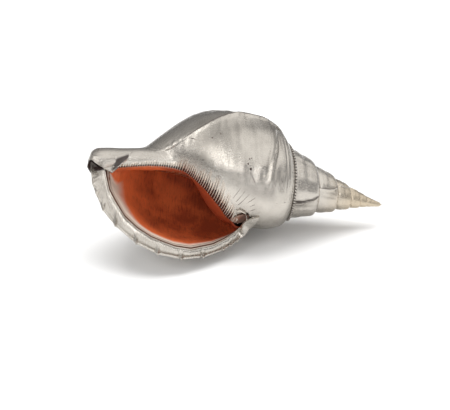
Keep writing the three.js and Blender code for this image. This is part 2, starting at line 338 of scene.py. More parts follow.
    def floor_radius(self, w: Array, t: Array, opened: Array) -> Array:
        """Radius of the mouth's inner side: the whorl before it, the columella, and the neck near the lip."""
        core = self.columella_slope * w * (1 - opened) + self.neck(w) * opened
        return soft_max(self.whorl_radius(w, t - TAU), core, self.blend)

    def floor_at_lip(self, w: Array, t: Array) -> Array:
        """Radius of the mouth's inner side where the mouth is fully open."""
        return self.floor_radius(w, t, np.ones_like(w))

    def point(self, t: Array, w: Array, r: Array) -> Array:
        """A point about the shell's own axis."""
        bend = (np.maximum(0, w - self.bend_start) / (self.length - self.bend_start)) ** 2
        along = w - self.apex_stretch * np.exp(-w / self.apex_reach)
        return np.stack([r * np.cos(t) + self.bend * bend, r * np.sin(t), along], axis=-1)

    def turned(self, points: Array) -> Array:
        """Points turned to the way the shell lies, still about its apex's own origin."""
        c, s = math.cos(self.roll), math.sin(self.roll)
        roll = np.array([[c, -s, 0], [s, c, 0], [0, 0, 1]])
        axes = np.array([[0, 0, -1.0], [0, -1.0, 0], [-1.0, 0, 0]])
        c, s = math.cos(self.pitch), math.sin(self.pitch)
        pitch = np.array([[c, 0, -s], [0, 1, 0], [s, 0, c]])
        return points @ (pitch @ axes @ roll).T


@dataclass(frozen=True)
class Lying:
    """The place of the shell in the frame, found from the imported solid's apex."""

    growth: Growth
    apex: tuple[float, float, float]

    @classmethod
    def on_solid(cls, growth: Growth) -> "Lying":
        """Reads the apex, the solid's furthest corner along X."""
        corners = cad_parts[NODE].data.vertices
        return cls(growth, tuple(max(corners, key=lambda v: v.co.x).co))

    def place(self, t: Array, w: Array, r: Array) -> Array:
        """Lays points of the growth law down in the frame, in metres."""
        own_apex = self.growth.turned(self.growth.point(*np.zeros((3, 1))))[0]
        return (self.growth.turned(self.growth.point(t, w, r)) - own_apex) * MM + np.array(self.apex)


class Bench:
    """Modelling steps that every piece goes through."""

    @staticmethod
    def clear() -> None:
        """Leaves edit mode and deselects everything."""
        if bpy.context.object and bpy.context.object.mode != "OBJECT":
            bpy.ops.object.mode_set(mode="OBJECT")
        bpy.ops.object.select_all(action="DESELECT")

    @classmethod
    def take(cls, piece: Object) -> None:
        """Selects one piece alone and makes it active."""
        cls.clear()
        piece.select_set(True)
        bpy.context.view_layer.objects.active = piece

    @classmethod
    @contextmanager
    def editing(cls, piece: Object) -> Iterator[None]:
        """Holds one piece in edit mode, with all of it selected, for a step of work."""
        cls.take(piece)
        bpy.ops.object.mode_set(mode="EDIT")
        bpy.ops.mesh.select_all(action="SELECT")
        yield
        bpy.ops.object.mode_set(mode="OBJECT")

    @staticmethod
    def corners(piece: Object) -> Array:
        """Places of a piece's corners, one row each."""
        flat = np.zeros(len(piece.data.vertices) * 3)
        piece.data.vertices.foreach_get("co", flat)
        return flat.reshape(-1, 3)

    @classmethod
    def sheet(cls, name: str, columns: int, rows: int) -> tuple[Object, Array, Array]:
        """Adds a flat grid, ready to be wrapped onto the shell.

        Args:
            name: Name of the new piece.
            columns: Faces across.
            rows: Faces along the growth.

        Returns:
            The piece, and the column and row number of each of its corners.
        """
        cls.clear()
        bpy.ops.mesh.primitive_grid_add(x_subdivisions=columns, y_subdivisions=rows, size=1)
        piece = bpy.context.object
        piece.name = piece.data.name = name
        flat = cls.corners(piece)
        across = np.rint((flat[:, 0] + 0.5) * columns).astype(int)
        along = np.rint((flat[:, 1] + 0.5) * rows).astype(int)
        return piece, across, along

    @staticmethod
    def wrap(piece: Object, points: Array, t: Array, w: Array) -> None:
        """Moves a sheet's corners to their places and lays its UV map along the growth.

        Args:
            piece: The sheet.
            points: Place of each corner in the frame.
            t: Turn angle of each corner, for the map.
            w: Distance of each corner, for the map.
        """
        piece.data.vertices.foreach_set("co", points.reshape(-1))
        owner = np.zeros(len(piece.data.loops), dtype=int)
        piece.data.loops.foreach_get("vertex_index", owner)
        layer = piece.data.uv_layers.active
        layer.name = "growth"
        layer.data.foreach_set("uv", np.stack([t[owner], w[owner] / UV_UNIT], axis=-1).reshape(-1))
        piece.data.update()

    @staticmethod
    def mark(piece: Object, **marks: Array) -> None:
        """Keeps named values at the corners for the materials."""
        for name, values in marks.items():
            layer = piece.data.attributes.new(name, "FLOAT", "POINT")
            layer.data.foreach_set("value", values.astype(np.float32))

    @classmethod
    def weld(cls, piece: Object) -> None:
        """Merges corners that meet."""
        with cls.editing(piece):
            bpy.ops.mesh.remove_doubles(threshold=1e-6)

    @classmethod
    def flip(cls, piece: Object) -> None:
        """Turns all faces of a piece round."""
        with cls.editing(piece):
            bpy.ops.mesh.flip_normals()

    @classmethod
    def outward(cls, piece: Object) -> None:
        """Turns a closed piece's faces outwards."""
        with cls.editing(piece):
            bpy.ops.mesh.normals_make_consistent(inside=False)

    @classmethod
    def face_away(cls, piece: Object, inner: Array) -> None:
        """Turns an open sheet's faces away from a middle line.

        Args:
            piece: The sheet.
            inner: A point of the line for each corner.
        """
        piece.data.update()
        normals = np.zeros(len(piece.data.vertices) * 3)
        piece.data.vertex_normals.foreach_get("vector", normals)
        if np.sum((cls.corners(piece) - inner) * normals.reshape(-1, 3)) <= 0:
            cls.flip(piece)

    @classmethod
    def thicken(cls, piece: Object, thickness: float) -> None:
        """Gives an open sheet its wall, on the side its faces look away from."""
        cls.take(piece)
        wall = piece.modifiers.new("wall", "SOLIDIFY")
        wall.thickness = thickness * MM
        wall.offset = -1
        wall.use_even_offset = False
        bpy.ops.object.modifier_apply(modifier=wall.name)

    @classmethod
    def finish(cls, piece: Object, finish: Material, angle: float = 50, slot: str = "silver_plate") -> None:
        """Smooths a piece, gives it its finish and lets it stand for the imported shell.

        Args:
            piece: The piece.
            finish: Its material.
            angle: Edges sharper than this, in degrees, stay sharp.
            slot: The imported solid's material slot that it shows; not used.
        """
        cls.take(piece)
        bpy.ops.object.shade_smooth_by_angle(angle=math.radians(angle))
        piece.data.materials.clear()
        piece.data.materials.append(finish)
        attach(piece, BODY)
        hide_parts(NODE)
        log.info("%s: %d corners, %d faces", piece.name, len(piece.data.vertices), len(piece.data.polygons))


class Tone(Enum):
    """Measured colours, linear."""

    SILVER = (0.58, 0.545, 0.495, 1)
    TARNISH = (0.22, 0.195, 0.165, 1)
    ORANGE = (0.84, 0.185, 0.058, 1)
    EMBER = (0.30, 0.052, 0.018, 1)
    MAROON = (0.030, 0.006, 0.005, 1)
    PALE = (0.72, 0.62, 0.52, 1)
    BROWN = (0.055, 0.020, 0.010, 1)
    INK = (0.020, 0.008, 0.006, 1)
    GILT = (0.60, 0.50, 0.36, 1)


class Nodes:
    """Short ways to add and join shader nodes."""

    def __init__(self, tree: bpy.types.NodeTree) -> None:
        """Keeps the tree that the nodes go to."""
        self.tree = tree

    @classmethod
    def material(cls, name: str) -> tuple[Material, "Nodes", bpy.types.Node]:
        """Starts a material, and gives it with its nodes and its shader."""
        material = bpy.data.materials.new(name)
        material.use_nodes = True
        return material, cls(material.node_tree), material.node_tree.nodes["Principled BSDF"]

    def add(self, kind: str, **values: object) -> bpy.types.Node:
        """Adds a node and sets its own properties."""
        node = self.tree.nodes.new(kind)
        for name, value in values.items():
            setattr(node, name, value)
        return node

    def link(self, source: Socket, target: Socket) -> None:
        """Joins two sockets."""
        self.tree.links.new(source, target)

    def feed(self, target: Socket, value: object) -> None:
        """Links a socket, or sets a plain value."""
        if isinstance(value, Socket):
            self.link(value, target)
        else:
            target.default_value = value

    def coordinates(self, output: str = "Object") -> Socket:
        """Texture coordinates, the piece's own unless another output is named."""
        return self.add("ShaderNodeTexCoord").outputs[output]

    def growth_map(self, scale: tuple[float, float, float]) -> Socket:
        """The piece's UV map along the growth, stretched along its axes."""
        node = self.add("ShaderNodeMapping")
        self.link(self.add("ShaderNodeUVMap", uv_map="growth").outputs["UV"], node.inputs["Vector"])
        node.inputs["Scale"].default_value = scale
        return node.outputs["Vector"]

    def noise(self, vector: Socket, scale: float | Socket, detail: float = 4, rough: float = 0.55) -> Socket:
        """Noise of about 0.5, on a vector."""
        node = self.add("ShaderNodeTexNoise")
        self.link(vector, node.inputs["Vector"])
        self.feed(node.inputs["Scale"], scale)
        node.inputs["Detail"].default_value = detail
        node.inputs["Roughness"].default_value = rough
        return node.outputs["Fac"]

    def ramp(self, value: Socket, low: float, high: float, start: float = 0, end: float = 1) -> Socket:
        """Maps a value from low..high to start..end, clamped."""
        node = self.add("ShaderNodeMapRange")
        self.link(value, node.inputs["Value"])
        for name, number in (("From Min", low), ("From Max", high), ("To Min", start), ("To Max", end)):
            node.inputs[name].default_value = number
        return node.outputs["Result"]

    def math(self, operation: str, a: object, b: object) -> Socket:
        """Arithmetic on two values."""
        node = self.add("ShaderNodeMath", operation=operation)
        self.feed(node.inputs[0], a)
        self.feed(node.inputs[1], b)
        return node.outputs[0]

    def total(self, *parts: Socket) -> Socket:
        """All the values added."""
        result = parts[0]
        for part in parts[1:]:
            result = self.math("ADD", result, part)
        return result

    def product(self, *factors: object) -> Socket:
        """All the values multiplied."""
        result = factors[0]
        for factor in factors[1:]:
            result = self.math("MULTIPLY", result, factor)
        return result

    def mix(self, share: object, a: object, b: object) -> Socket:
        """A colour between two colours."""
        node = self.add("ShaderNodeMix", data_type="RGBA")
        self.feed(node.inputs["Factor"], share)
        self.feed(node.inputs["A"], a)
        self.feed(node.inputs["B"], b)
        return node.outputs["Result"]

    def attribute(self, name: str) -> Socket:
        """A value kept at the corners."""
        return self.add("ShaderNodeAttribute", attribute_name=name).outputs["Fac"]

    def bump(self, height: Socket, strength: float, distance: float, shader: bpy.types.Node) -> None:
        """Lets a height tilt a shader's normals.

        Args:
            height: The height, 0 to about 1.
            strength: How strongly it tilts them.
            distance: What a height of 1 stands for, in millimetres.
            shader: The shader.
        """
        node = self.add("ShaderNodeBump")
        node.inputs["Strength"].default_value = strength
        node.inputs["Distance"].default_value = distance * MM
        self.link(height, node.inputs["Height"])
        self.link(node.outputs["Normal"], shader.inputs["Normal"])


class Groups:
    """Shader effects that more than one finish uses, each built once."""

    @staticmethod
    def _new(
        name: str, inputs: dict[str, float], outputs: tuple[str, ...]
    ) -> tuple[Nodes, bpy.types.Node, bpy.types.Node]:
        """Starts a group with named sockets, and gives its nodes, its input node and its output node."""
        tree = bpy.data.node_groups.new(name, "ShaderNodeTree")
        for label, value in inputs.items():
            socket = tree.interface.new_socket(name=label, in_out="INPUT", socket_type="NodeSocketFloat")
            socket.default_value = value
        for label in outputs:
            tree.interface.new_socket(name=label, in_out="OUTPUT", socket_type="NodeSocketFloat")
        nodes = Nodes(tree)
        return nodes, nodes.add("NodeGroupInput"), nodes.add("NodeGroupOutput")

    @classmethod
    @cache
    def tarnish(cls) -> bpy.types.NodeTree:
        """Cloudy stains and small pits, as masks."""
        inputs = {"Cloud Size": 20, "Amount": 0.5, "Pits": 0.5}
        n, inward, outward = cls._new("tarnish", inputs, ("Stain", "Pit"))
        place = n.coordinates()
        cloud = n.ramp(n.noise(place, inward.outputs["Cloud Size"], 6, 0.62), 0.42, 0.75)
        n.link(n.product(cloud, inward.outputs["Amount"]), outward.inputs["Stain"])
        spots = n.add("ShaderNodeTexVoronoi")
        n.link(place, spots.inputs["Vector"])
        spots.inputs["Scale"].default_value = 75
        patchy = n.ramp(n.noise(place, 14, 2), 0.56, 0.68)
        pit = n.ramp(spots.outputs["Distance"], 0.16, 0.06)
        n.link(n.product(pit, patchy, inward.outputs["Pits"]), outward.inputs["Pit"])
        return n.tree

    @classmethod
    @cache
    def growth_lines(cls) -> bpy.types.NodeTree:
        """Fine lines along and across the growth, as a height, and where they are faint."""
        n, inward, outward = cls._new("growth_lines", {"Around": 0.5, "Across": 0.5}, ("Height", "Streak"))
        spiral = n.noise(n.growth_map((1.2, 60, 1)), 3.0, 5, 0.6)
        axial = n.noise(n.growth_map((26, 1.6, 1)), 3.0, 5, 0.6)
        lines = (n.product(spiral, inward.outputs["Around"]), n.product(axial, inward.outputs["Across"]))
        n.link(n.total(*lines), outward.inputs["Height"])
        n.link(n.product(spiral, axial), outward.inputs["Streak"])
        return n.tree


@dataclass(frozen=True)
class Plating:
    """Satin silver plate, lightly brushed, wrinkled and tarnished, with painted shade and painted dark
    reflection where its pieces mark crevices, gaps and folds.
    """

    name: str
    roughness: float = 0.21
    stain_roughness: float = 0.18
    streak_roughness: float = 0.10
    cloud_size: float = 16
    stains: float = 0.6
    pits: float = 0.6
    pit_depth: float = 1.5
    around: float = 0.6
    across: float = 0.5
    crinkle: float = 0.22
    relief: float = 0.35
    relief_depth: float = 0.9
    # Colour of the painted shade in crevices, gaps and folds; on the inner lip, of its real dark grooves.
    dark: Tone = Tone.INK
    pale_lashes: float = 0.0

    def build(self) -> Material:
        """Builds the finish."""
        material, n, shader = Nodes.material(self.name)
        stain = n.add("ShaderNodeGroup", node_tree=Groups.tarnish())
        lines = n.add("ShaderNodeGroup", node_tree=Groups.growth_lines())
        for group, name, value in (
            (stain, "Cloud Size", self.cloud_size), (stain, "Amount", self.stains),
            (stain, "Pits", self.pits), (lines, "Around", self.around), (lines, "Across", self.across),
        ):
            group.inputs[name].default_value = value
        dirt = n.math("MAXIMUM", stain.outputs["Stain"], stain.outputs["Pit"])
        self.colour(n, shader, dirt)
        streak = n.ramp(lines.outputs["Streak"], 0.22, 0.42)
        rough = n.total(n.product(dirt, self.stain_roughness), n.product(streak, self.streak_roughness))
        n.link(n.math("ADD", rough, self.roughness), shader.inputs["Roughness"])
        crinkle = n.noise(n.coordinates(), 55, 5, 0.6)
        height = n.total(lines.outputs["Height"], n.product(crinkle, self.crinkle))
        height = n.math("SUBTRACT", height, n.product(stain.outputs["Pit"], self.pit_depth))
        n.bump(height, self.relief, self.relief_depth, shader)
        return material

    def colour(self, n: Nodes, shader: bpy.types.Node, dirt: Socket) -> None:
        """Lets the silver turn dull, golden, pale or dark; where it is pale or dark, it isn't metal. The dark
        is painted shade and painted dark reflection in crevices, gaps and folds, and on the inner lip its
        real dark grooves.

        Args:
            n: The material's nodes.
            shader: Its shader.
            dirt: How stained it is.
        """
        # Painted shade and painted dark reflection, with the inner lip's real grooves, are mixed in here.
        groove = n.attribute("groove")
        colour = n.mix(dirt, Tone.SILVER.value, Tone.TARNISH.value)
        colour = n.mix(n.attribute("gilt"), colour, Tone.GILT.value)
        pale = 0.0
        if self.pale_lashes:
            pale = n.product(n.attribute("lash"), self.pale_lashes)
            colour = n.mix(pale, colour, Tone.PALE.value)
        n.link(n.mix(groove, colour, self.dark.value), shader.inputs["Base Color"])
        covered = n.math("MAXIMUM", groove, pale)
        n.link(n.math("SUBTRACT", 1.0, covered), shader.inputs["Metallic"])


@dataclass(frozen=True)
class DarkMark:
    """The dark bottom of pits and scratches."""

    name: str = "pit_bottom"
    cloud_scale: float = 400

    def build(self) -> Material:
        """Builds the finish."""
        material, n, shader = Nodes.material(self.name)
        cloud = n.noise(n.coordinates(), self.cloud_scale, 3)
        colour = n.mix(n.ramp(cloud, 0.4, 0.6), Tone.INK.value, Tone.BROWN.value)
        n.link(colour, shader.inputs["Base Color"])
        n.link(n.ramp(cloud, 0.3, 0.7, 0.45, 0.8), shader.inputs["Roughness"])
        return material


@dataclass(frozen=True)
class BareShell:
    """The mouth's own glossy shell: a pale band by the lip, then mottled orange."""

    name: str = "bare_mouth"
    roughness: float = 0.42
    coat: float = 0.10
    coat_roughness: float = 0.25
    specular: float = 0.35

    def build(self) -> Material:
        """Builds the finish."""
        material, n, shader = Nodes.material(self.name)
        cloud = n.noise(n.coordinates(), 26, 5, 0.6)
        streaks = n.noise(n.growth_map((3, 9, 1)), 2.2, 4, 0.6)
        n.link(self.colour(n, cloud, streaks), shader.inputs["Base Color"])
        smooth, dull = self.roughness - 0.06, self.roughness + 0.12
        n.link(n.ramp(cloud, 0.3, 0.7, smooth, dull), shader.inputs["Roughness"])
        shader.inputs["Coat Weight"].default_value = self.coat
        shader.inputs["Coat Roughness"].default_value = self.coat_roughness
        shader.inputs["Specular IOR Level"].default_value = self.specular
        n.bump(streaks, 0.12, 1.0, shader)
        return material

    @staticmethod
    def colour(n: Nodes, cloud: Socket, streaks: Socket) -> Socket:
        """The shell's colour: mottled orange with painted shade inwards and on the inner side, pale and lined
        by the lip.

        Args:
            n: The material's nodes.
            cloud: Large soft clouds.
            streaks: Streaks along the growth.

        Returns:
            The colour.
        """
        mottled = n.total(n.ramp(cloud, 0.40, 0.68), n.ramp(streaks, 0.50, 0.74, 0, 0.7))
        mottled = n.product(mottled, n.ramp(n.attribute("depth"), 1, 4, 0.3, 1.0))
        # Painted shade darkens the orange towards ember deep in the mouth and on its inner side.
        deep = n.total(n.product(mottled, 0.75), n.product(n.attribute("dusk"), 0.55))
        orange = n.mix(deep, Tone.ORANGE.value, Tone.EMBER.value)
        wavering = n.total(n.attribute("depth"), n.ramp(cloud, 0.3, 0.7, -0.22, 0.22))
        banded = n.mix(n.ramp(wavering, 0.75, 1.45), Tone.PALE.value, orange)
        return n.mix(n.attribute("line"), banded, Tone.BROWN.value)


@dataclass
class Skin:
    """A piece that is wrapped onto the shell from a flat sheet."""

    lying: Lying

    def dress(
        self, piece: Object, place: tuple[Array, Array, Array], wall: float, finish: Material, **marks: Array
    ) -> None:
        """Lays an open sheet on the shell, turns it outwards and gives it its wall and its finish.

        Args:
            piece: The flat sheet.
            place: Turn angle, distance and radius of each corner.
            wall: Thickness of the wall.
            finish: The finish.
            **marks: Values at the corners that the finish reads.
        """
        t, w, r = place
        points = self.lying.place(t, w, r)
        points[:, 2] = np.maximum(points[:, 2], WORN * MM)
        Bench.wrap(piece, points, t, w)
        Bench.mark(piece, **marks)
        Bench.face_away(piece, self.lying.place(t, w, r * 0))
        Bench.thicken(piece, wall)
        Bench.finish(piece, finish)


@dataclass
class PlatedSpire(Skin):
    """The old whorls above the last one, from the apex to the last whorl's suture."""

    columns: int = 34
    rows_per_turn: int = 132
    apex_rows_per_turn: int = 54
    apex_turns: int = 7
    wall: float = 0.7
    tuck: float = 0.06
    tuck_reach: float = 0.12
    near_varix: tuple[float, ...] = (-0.03, -0.012, -0.003, 0.004, 0.01, 0.018, 0.03, 0.06)
    tip_bulge: float = 2.5
    tip_length: float = 16.0
    gilt: tuple[float, float, float] = (0.75, 22, 80)
    edged_varices: tuple[int, ...] = (2, 4, 6)

    def row_turns(self) -> Array:
        """Turn angles of the rows, coarser near the apex and closer together where a varix drops."""
        g = self.lying.growth
        start, middle, end = -TAU * g.turns, -TAU * (g.turns - self.apex_turns), -TAU - 0.02
        apex = np.linspace(start, middle, self.apex_rows_per_turn * self.apex_turns, endpoint=False)
        fine = np.linspace(middle, end, self.rows_per_turn * (g.turns - self.apex_turns - 1))
        extra = [at + np.array(self.near_varix) for at in g.varices() if at < -TAU]
        return np.sort(np.concatenate([apex, fine, *extra]))

    def build(self, finish: Material) -> None:
        """Wraps a ribbon of all the old turns, drawn to a point at the apex.

        Args:
            finish: The plating.
        """
        g = self.lying.growth
        steps = self.row_turns()
        piece, across, along = Bench.sheet("plated_spire", self.columns, len(steps) - 1)
        t = steps[along]
        start = -TAU * g.turns
        closing = smoothstep(t, start, start + TAU)
        top, low = g.suture(t) * closing, g.suture(t + TAU)
        share = across / self.columns * (1 + self.tuck)
        tucked = self.tuck_reach * np.maximum(share - 1, 0) / self.tuck
        w = top + (low - top) * np.minimum(share, 1) + (low - top) * tucked
        r = np.where(across == 0, g.suture_radius(t), g.whorl_radius(w, t))
        under_last = smoothstep(t, -TAU - 0.6, -TAU - 0.2)
        r = r + self.relief(t, w, share) * np.exp(g.height_rate * t) * (1 - under_last)
        r = r - 1.2 * smoothstep(t, -TAU - 0.07, -TAU - 0.02)
        blunt = self.tip_bulge * np.exp(-w / self.tip_length) * np.sqrt(w / (w + 1.0))
        r = (r + blunt) * (closing + (1 - closing) * np.minimum(share, 1))
        between = smoothstep(share, 0.0, 0.12) * (1 - smoothstep(share, 0.8, 0.98))
        gold, full, none = self.gilt
        # The gaps behind the edged varices get painted shade.
        self.dress(
            piece, (t, w, r), self.wall, finish,
            gilt=gold * (1 - smoothstep(w, full, none)), groove=self.painted_crevice_shade(t, w) * between,
        )

    def painted_crevice_shade(self, t: Array, w: Array) -> Array:
        """Painted shade in the gaps behind the old lip edges."""
        g = self.lying.growth
        dark = np.zeros_like(t)
        for index in self.edged_varices:
            dark = np.maximum(dark, bell(t, g.crest(index, w) + 0.045, 0.035))
        return 0.92 * dark

    @staticmethod
    def relief(t: Array, w: Array, share: Array) -> Array:
        """Spiral cords, axial folds, fuller whorls and deep sutures on the old whorls.

        Args:
            t: Turn angles.
            w: Distances.
            share: Share of the way from a whorl's upper suture to its lower one.

        Returns:
            What they add to the radius at the lip's scale.
        """
        middle = np.sin(math.pi * np.clip(share, 0, 1))
        folds = 0.45 * ripple(t * 7, 5, 4, 1.6, 4.2) * middle
        broad, fine = np.sin(share * TAU * 3.5 + 0.6 * np.sin(t * 3)), np.sin(share * TAU * 11)
        cords = (0.28 * broad + 0.12 * fine) * middle
        fullness = 2.7 * (1 + 0.9 * (1 - smoothstep(w, 30, 75))) * middle**0.8
        return folds + cords + fullness - 2.6 * bell(share, 0.0, 0.05) - 1.4 * smoothstep(share, 0.86, 1.0)


@dataclass
class PlatedBody(Skin):
    """The last whorl with its canal neck, the leaf beside the spout, and the thick toothed lip."""

    columns: int = 176
    rows: int = 190
    rim_rows: int = 22
    wall: float = 1.2
    start: float = -TAU - 0.10
    near_varix: tuple[float, ...] = (
        -0.07, -0.045, -0.025, -0.012, -0.004, 0.0005, 0.004, 0.008, 0.013, 0.02, 0.028, 0.045,
    )
    lip_begins: float = -math.pi * 0.9
    reach: float = 0.16
    rounding: float = 1.8
    round_end: float = 0.26
    face_end: float = 0.86
    hollow: float = 2.1
    seam: float = 4.5
    teeth: tuple[float, ...] = (
        0.015, 0.042, 0.075, 0.118, 0.170, 0.304, 0.437, 0.577, 0.700, 0.818, 0.893, 0.935, 0.968,
    )
    tooth_width: float = 0.0060
    tooth_height: float = 2.5
    spiral_grooves: tuple[float, ...] = (154.5, 158.5, 163.0, 167.5)
    jog: Spot = Spot(-4.80, 0.05, 208, 5)
    jog_height: float = 1.3
    ridge_height: float = 2.1
    fan_height: float = 0.35
    flute_height: float = 3.0
    # Painted dark reflections: bands in the shoulder's folds, each a distance, spread and share, and a patch
    # on the whorl's side.
    painted_reflection_bands: Knots = ((168.5, 1.6, 1.0), (174.5, 1.6, 1.0), (180.5, 1.2, 0.6))
    painted_darkness: float = 0.60
    painted_reflection_patch: float = 0.26

    def row_turns(self) -> Array:
        """Turn angles of the rows before the rim, closer together where the varix drops."""
        even = np.linspace(self.start, 0, self.rows)
        return np.sort(np.concatenate([even, self.lying.growth.varices()[0] + np.array(self.near_varix)]))

    def tooth(self, x: Array) -> Array:
        """Height of the lip's points, 1 on each, with a small pit beside it."""
        total = np.zeros_like(x)
        for at in self.teeth:
            size, width = 0.45 + 0.55 * min(1, at / 0.3), self.tooth_width
            total = total + size * (bell(x, at, width) - 0.4 * bell(x, at + 0.014, width))
        return total

    def relief(self, t: Array, w: Array) -> Array:
        """Cords, folds and brushed waves on the last whorl, in millimetres."""
        g = self.lying.growth
        along = w * np.exp(-g.height_rate * t)
        body = smoothstep(along, 152, 170) * (1 - smoothstep(along, 268, 300))
        cords = 0.16 * np.sin(along / 2.1) * body
        grooves = -0.75 * sum(bell(along, at, 1.3) for at in self.spiral_grooves)
        folds = 0.35 * ripple(t * 6 + along / 40, 11, 5, 1.3, 4.5) * body
        waves = 0.30 * ripple(along / 6 + t * 0.8, 12, 4, 0.6, 1.8) * body
        at = 178 + 16 * np.clip(-3.83 - t, 0, 1.3) + 1.2 * np.sin(t * 9)
        ridge = bell(along, at, 2.0) - 0.8 * bell(along, at - 6, 3.2) - 0.5 * bell(along, at + 5, 2.5)
        ridge = self.ridge_height * ridge * bell(t, -4.35, 0.62)
        jog = self.jog_height * self.jog.strength(t, along)
        return cords + grooves + folds + waves + ridge + jog + self.varix_foot(t, w)

    def varix_foot(self, t: Array, w: Array) -> Array:
        """Fine wrinkles before the newest old lip edge and short flutes behind it, towards the neck."""
        crest = self.lying.growth.crest(0, w)
        fan = bell(t, crest - 0.12, 0.13) * np.sin(w / 1.05) * bell(w, 236, 34)
        flutes = bell(t, crest + 0.12, 0.10) * np.maximum(0, np.sin(w / 0.9)) * bell(w, 252, 8)
        return self.fan_height * fan + self.flute_height * flutes

    def build(self, finish: Material) -> None:
        """Wraps the last whorl, rolls its rim over to the mouth and gives it its wall.

        Args:
            finish: The plating.
        """
        g = self.lying.growth
        turns = self.row_turns()
        last = len(turns) - 1
        piece, across, along = Bench.sheet("plated_last_whorl", self.columns, last + self.rim_rows)
        x = across / self.columns
        before = turns[np.minimum(along, last)]
        edge = g.lip_edge(x)
        unbent = before + edge * smoothstep(before, self.lip_begins, 0)
        t = unbent
        for _ in range(3):
            lean = g.crest(0, g.distance(x, np.minimum(t, 0))) - g.varices()[0]
            t = unbent + lean * bell(before, g.varices()[0], 0.8)
        w = g.distance(x, np.minimum(t, 0))
        tooth = self.tooth(x)
        near = np.exp((t - edge) / 0.03)
        r = g.outer_radius(w, t) + g.mouth_widening(x, t) + g.rim_widening(x, t)
        rim_side = smoothstep(along, last - 14, last - 5) * (x < 0.987)
        # Painted shade in the canal's opening where the neck shows under the fold.
        cut = smoothstep(g.neck(w) - r, 0.4, 2.5) * (w > 300) * (1 - rim_side)
        r = r + self.relief(t, w) * (1 - near * 0.8) * smoothstep(t, 0.3 - TAU, 1.1 - TAU)
        r = r - 1.2 * (1 - smoothstep(t, self.start, self.start + 0.05))
        r = r - self.seam * (across == 0) * (1 - smoothstep(t, -0.9, -0.5))
        t, w, r = self.to_lip(x, t, w, r, edge)
        r = r + self.tooth_height * tooth * near
        q = np.clip((along - last) / self.rim_rows, 0, 1)
        t, w, r = self.rim(q, x, t, w, r, tooth, along >= last)
        # Painted shade darkens the line behind the newest old lip edge's crest, the canal's opening, the
        # notch at the lip's canal end and the seam at the suture; pits adds dark dots beside the teeth and
        # dull adds painted dark reflections.
        behind = 0.85 * bell(before, g.varices()[0] + 0.026, 0.011)
        notch = smoothstep(x, 0.989, 0.996) * (along >= last - 3)
        pits = 0.75 * sum(bell(x, at + 0.010, 0.0035) for at in self.teeth[2:]) * bell(q, 0.22, 0.12)
        seam = 0.8 * (across == 0) * (along < last - 3)
        dark = behind + cut + notch + pits * (along > last) + seam + self.dull(t, w)
        self.dress(piece, (t, w, r), self.wall, finish, groove=np.clip(dark, 0, 1))

    def dull(self, t: Array, w: Array) -> Array:
        """Painted dark reflections: bands in the folds at the shoulder, and a darker patch on the side of the
        whorl.
        """
        along = w * np.exp(-self.lying.growth.height_rate * t)
        bands = sum(share * bell(along, at, spread) for at, spread, share in self.painted_reflection_bands)
        patch = smoothstep(along, 178, 192) * (1 - smoothstep(along, 232, 255)) * bell(t, -5.27, 0.13)
        return self.painted_darkness * bands * bell(t, -4.14, 0.24) + self.painted_reflection_patch * patch

    def to_lip(
        self, x: Array, t: Array, w: Array, r: Array, edge: Array
    ) -> tuple[Array, Array, Array]:
        """Draws the last rows to the lip's outer edge.

        Args:
            x: Share between suture and canal tip.
            t: Turn angles.
            w: Distances.
            r: Radii.
            edge: Turn angle of the lip on the whorl.

        Returns:
            Turn angles, distances and radii that end on the lip's edge.
        """
        g = self.lying.growth
        end_w = g.distance(x, np.zeros_like(x))
        end_r = g.outer_radius(end_w, edge) + g.mouth_widening(x, edge) + g.rim_widening(x, edge)
        lip_w, lip_r, lip_t = knots(g.lips.outer, x)
        near = np.exp((t - edge) / self.reach) * (t > -2)
        return t + (lip_t - edge) * near, w + (lip_w - end_w) * near, r + (lip_r - end_r) * near

    def rim(
        self, q: Array, x: Array, t: Array, w: Array, r: Array, tooth: Array, on: Array
    ) -> tuple[Array, Array, Array]:
        """Rounds the outer edge, hollows the face between the teeth and turns it into the mouth.

        Args:
            q: Share of the way over the rim.
            x: Share between suture and canal tip.
            t: Turn angles.
            w: Distances.
            r: Radii of the outside at the lip.
            tooth: Height of the teeth, 0 to 1.
            on: Which corners lie on the rim.

        Returns:
            The turn angles, distances and radii over the rim.
        """
        turn = np.clip(q / self.round_end, 0, 1) * math.pi / 2
        face = np.clip((q - self.round_end) / (self.face_end - self.round_end), 0, 1)
        inward = np.clip((q - self.face_end) / (1 - self.face_end), 0, 1)
        in_w, in_r, in_t = knots(self.lying.growth.lips.inside_rim, x)
        width = np.hypot(in_w - w, in_r - r) + 1e-6
        share = (self.rounding * (1 - np.cos(turn)) / width).clip(0, 0.3) * (1 - face) + face
        crease = self.tooth_height * 0.8 * tooth * (1 - smoothstep(face, 0.25, 0.75))
        hollow = self.hollow * np.sin(math.pi * face) ** 0.8 * smoothstep(x, 0, 0.07)
        border = 0.9 * bell(face, 0.97, 0.05)
        forward = border + crease - self.rounding * (1 - np.sin(turn)) - hollow - 1.3 * inward
        rim_w, rim_r = w + (in_w - w) * share, r + (in_r - r) * share
        rim_t = t + (in_t - t) * share + forward / np.maximum(rim_r, 25)
        return np.where(on, rim_t, t), np.where(on, rim_w, w), np.where(on, rim_r, r)


